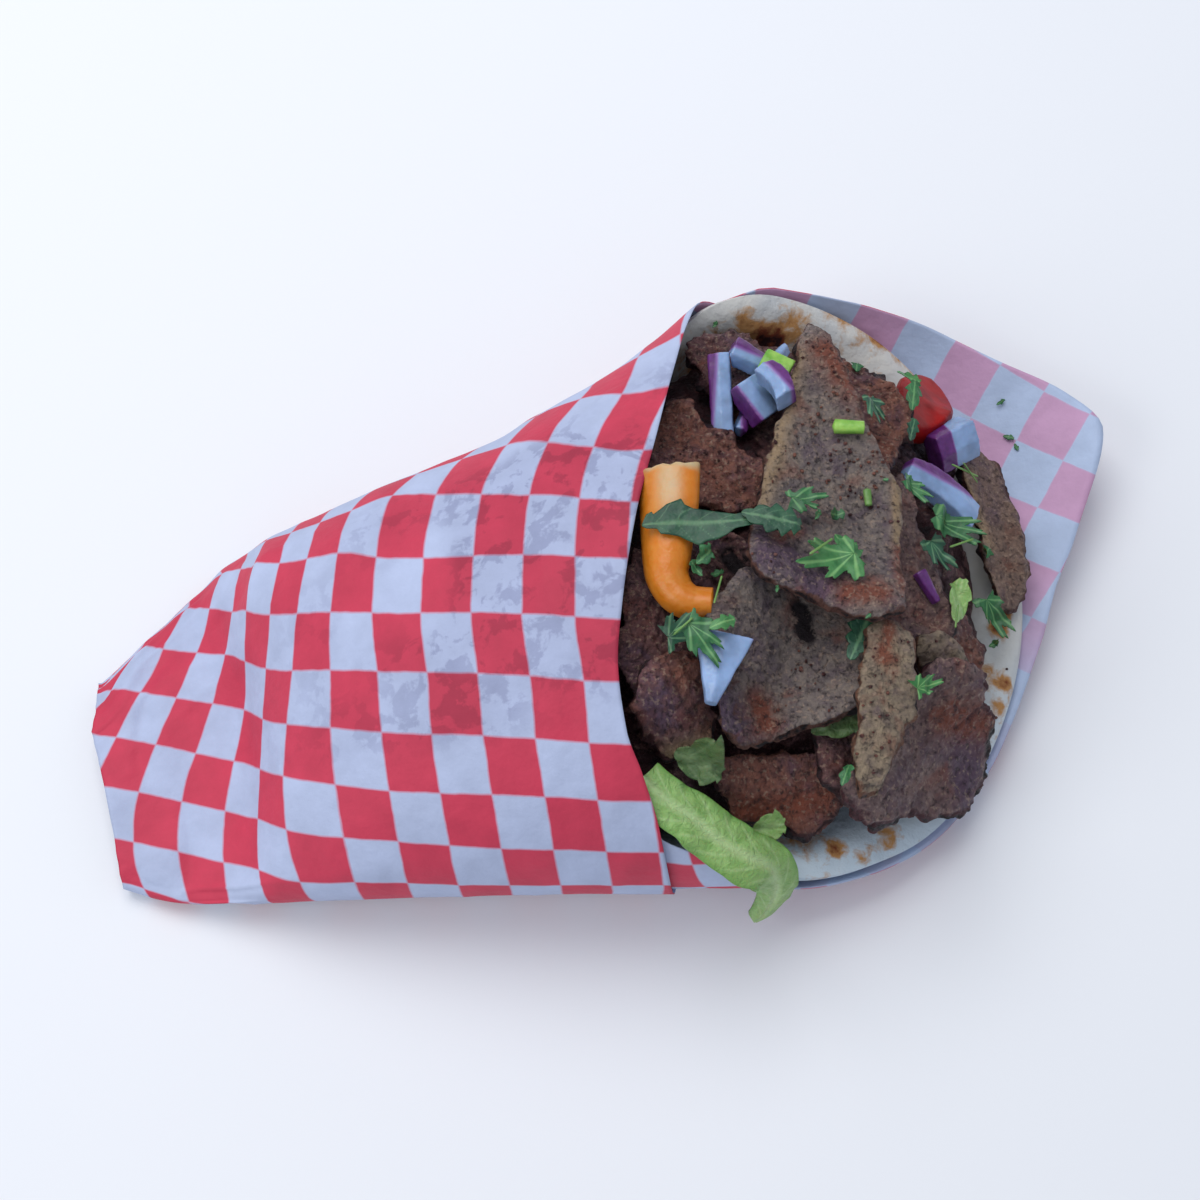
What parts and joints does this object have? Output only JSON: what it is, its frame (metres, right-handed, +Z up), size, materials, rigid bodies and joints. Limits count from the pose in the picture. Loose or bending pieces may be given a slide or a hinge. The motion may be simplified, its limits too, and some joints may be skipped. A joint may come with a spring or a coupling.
{
  "type": "gyro wrap",
  "caption": "Pita rolled round a heap of shaved meat, onion, pepper, tomato, lettuce and parsley, wound in red and white checked paper and lying on its back, open at the top.",
  "frame": {"origin": "middle of the wrap's box, on the surface it lies on", "axes": "+X from the flat folded tail to the open mouth, +Y to the far side, +Z up"},
  "size_m": [0.2464, 0.1512, 0.0763],
  "materials": {
    "checked_paper": "matte, lightly greased",
    "pita_bread": "matte, toasted in spots",
    "shaved_meat": "satin, browned and oily",
    "red_onion": "wet, satin",
    "tomato": "wet, glossy",
    "orange_pepper": "glossy",
    "lettuce": "satin",
    "parsley": "satin",
    "spring_onion": "satin"
  },
  "bodies": {
    "root": {"wrap_paper": "checked_paper", "pita": "pita_bread", "meat_heap": "shaved_meat", "slice_far_rim_long": "shaved_meat", "tomato_wedge": "tomato", "slice_far_rim": "shaved_meat", "slice_right_back": "shaved_meat", "slice_bottom": "shaved_meat", "slice_under": "shaved_meat", "lettuce_under": "lettuce", "slice_left_crusty": "shaved_meat", "slice_left_low": "shaved_meat", "slice_middle_burnt": "shaved_meat", "slice_right_middle": "shaved_meat", "slice_right_small": "shaved_meat", "slice_lower_right": "shaved_meat", "slice_lower_left": "shaved_meat", "slice_far_dark": "shaved_meat", "slice_lower_big": "shaved_meat", "parsley_middle_deep": "parsley", "slice_narrow_pale": "shaved_meat", "slice_main": "shaved_meat", "pepper_strip": "orange_pepper", "onion_bar": "red_onion", "onion_far_wedge": "red_onion", "onion_sliver": "red_onion", "onion_block": "red_onion", "onion_ring_piece": "red_onion", "onion_white_bit": "red_onion", "onion_right_cube": "red_onion", "onion_right_crescent": "red_onion", "onion_right_chip": "red_onion", "onion_kite": "red_onion", "spring_onion_chip": "spring_onion", "lettuce_leaf": "lettuce", "parsley_over_pepper": "parsley", "parsley_main_left": "parsley", "parsley_left_high": "parsley", "parsley_on_onion": "parsley", "parsley_left_pale": "parsley", "parsley_main_middle": "parsley", "parsley_fan_high": "parsley", "parsley_fan_low": "parsley", "parsley_far_dark": "parsley", "parsley_far_tip": "parsley", "parsley_by_tomato": "parsley", "parsley_under_tomato": "parsley", "parsley_right_short": "parsley", "parsley_right_long": "parsley", "parsley_right_teal": "parsley", "parsley_rim": "parsley", "parsley_low_right": "parsley", "lettuce_right_curl": "lettuce", "lettuce_low_curl": "lettuce", "lettuce_low_bit": "lettuce"}
  },
  "joints": []
}
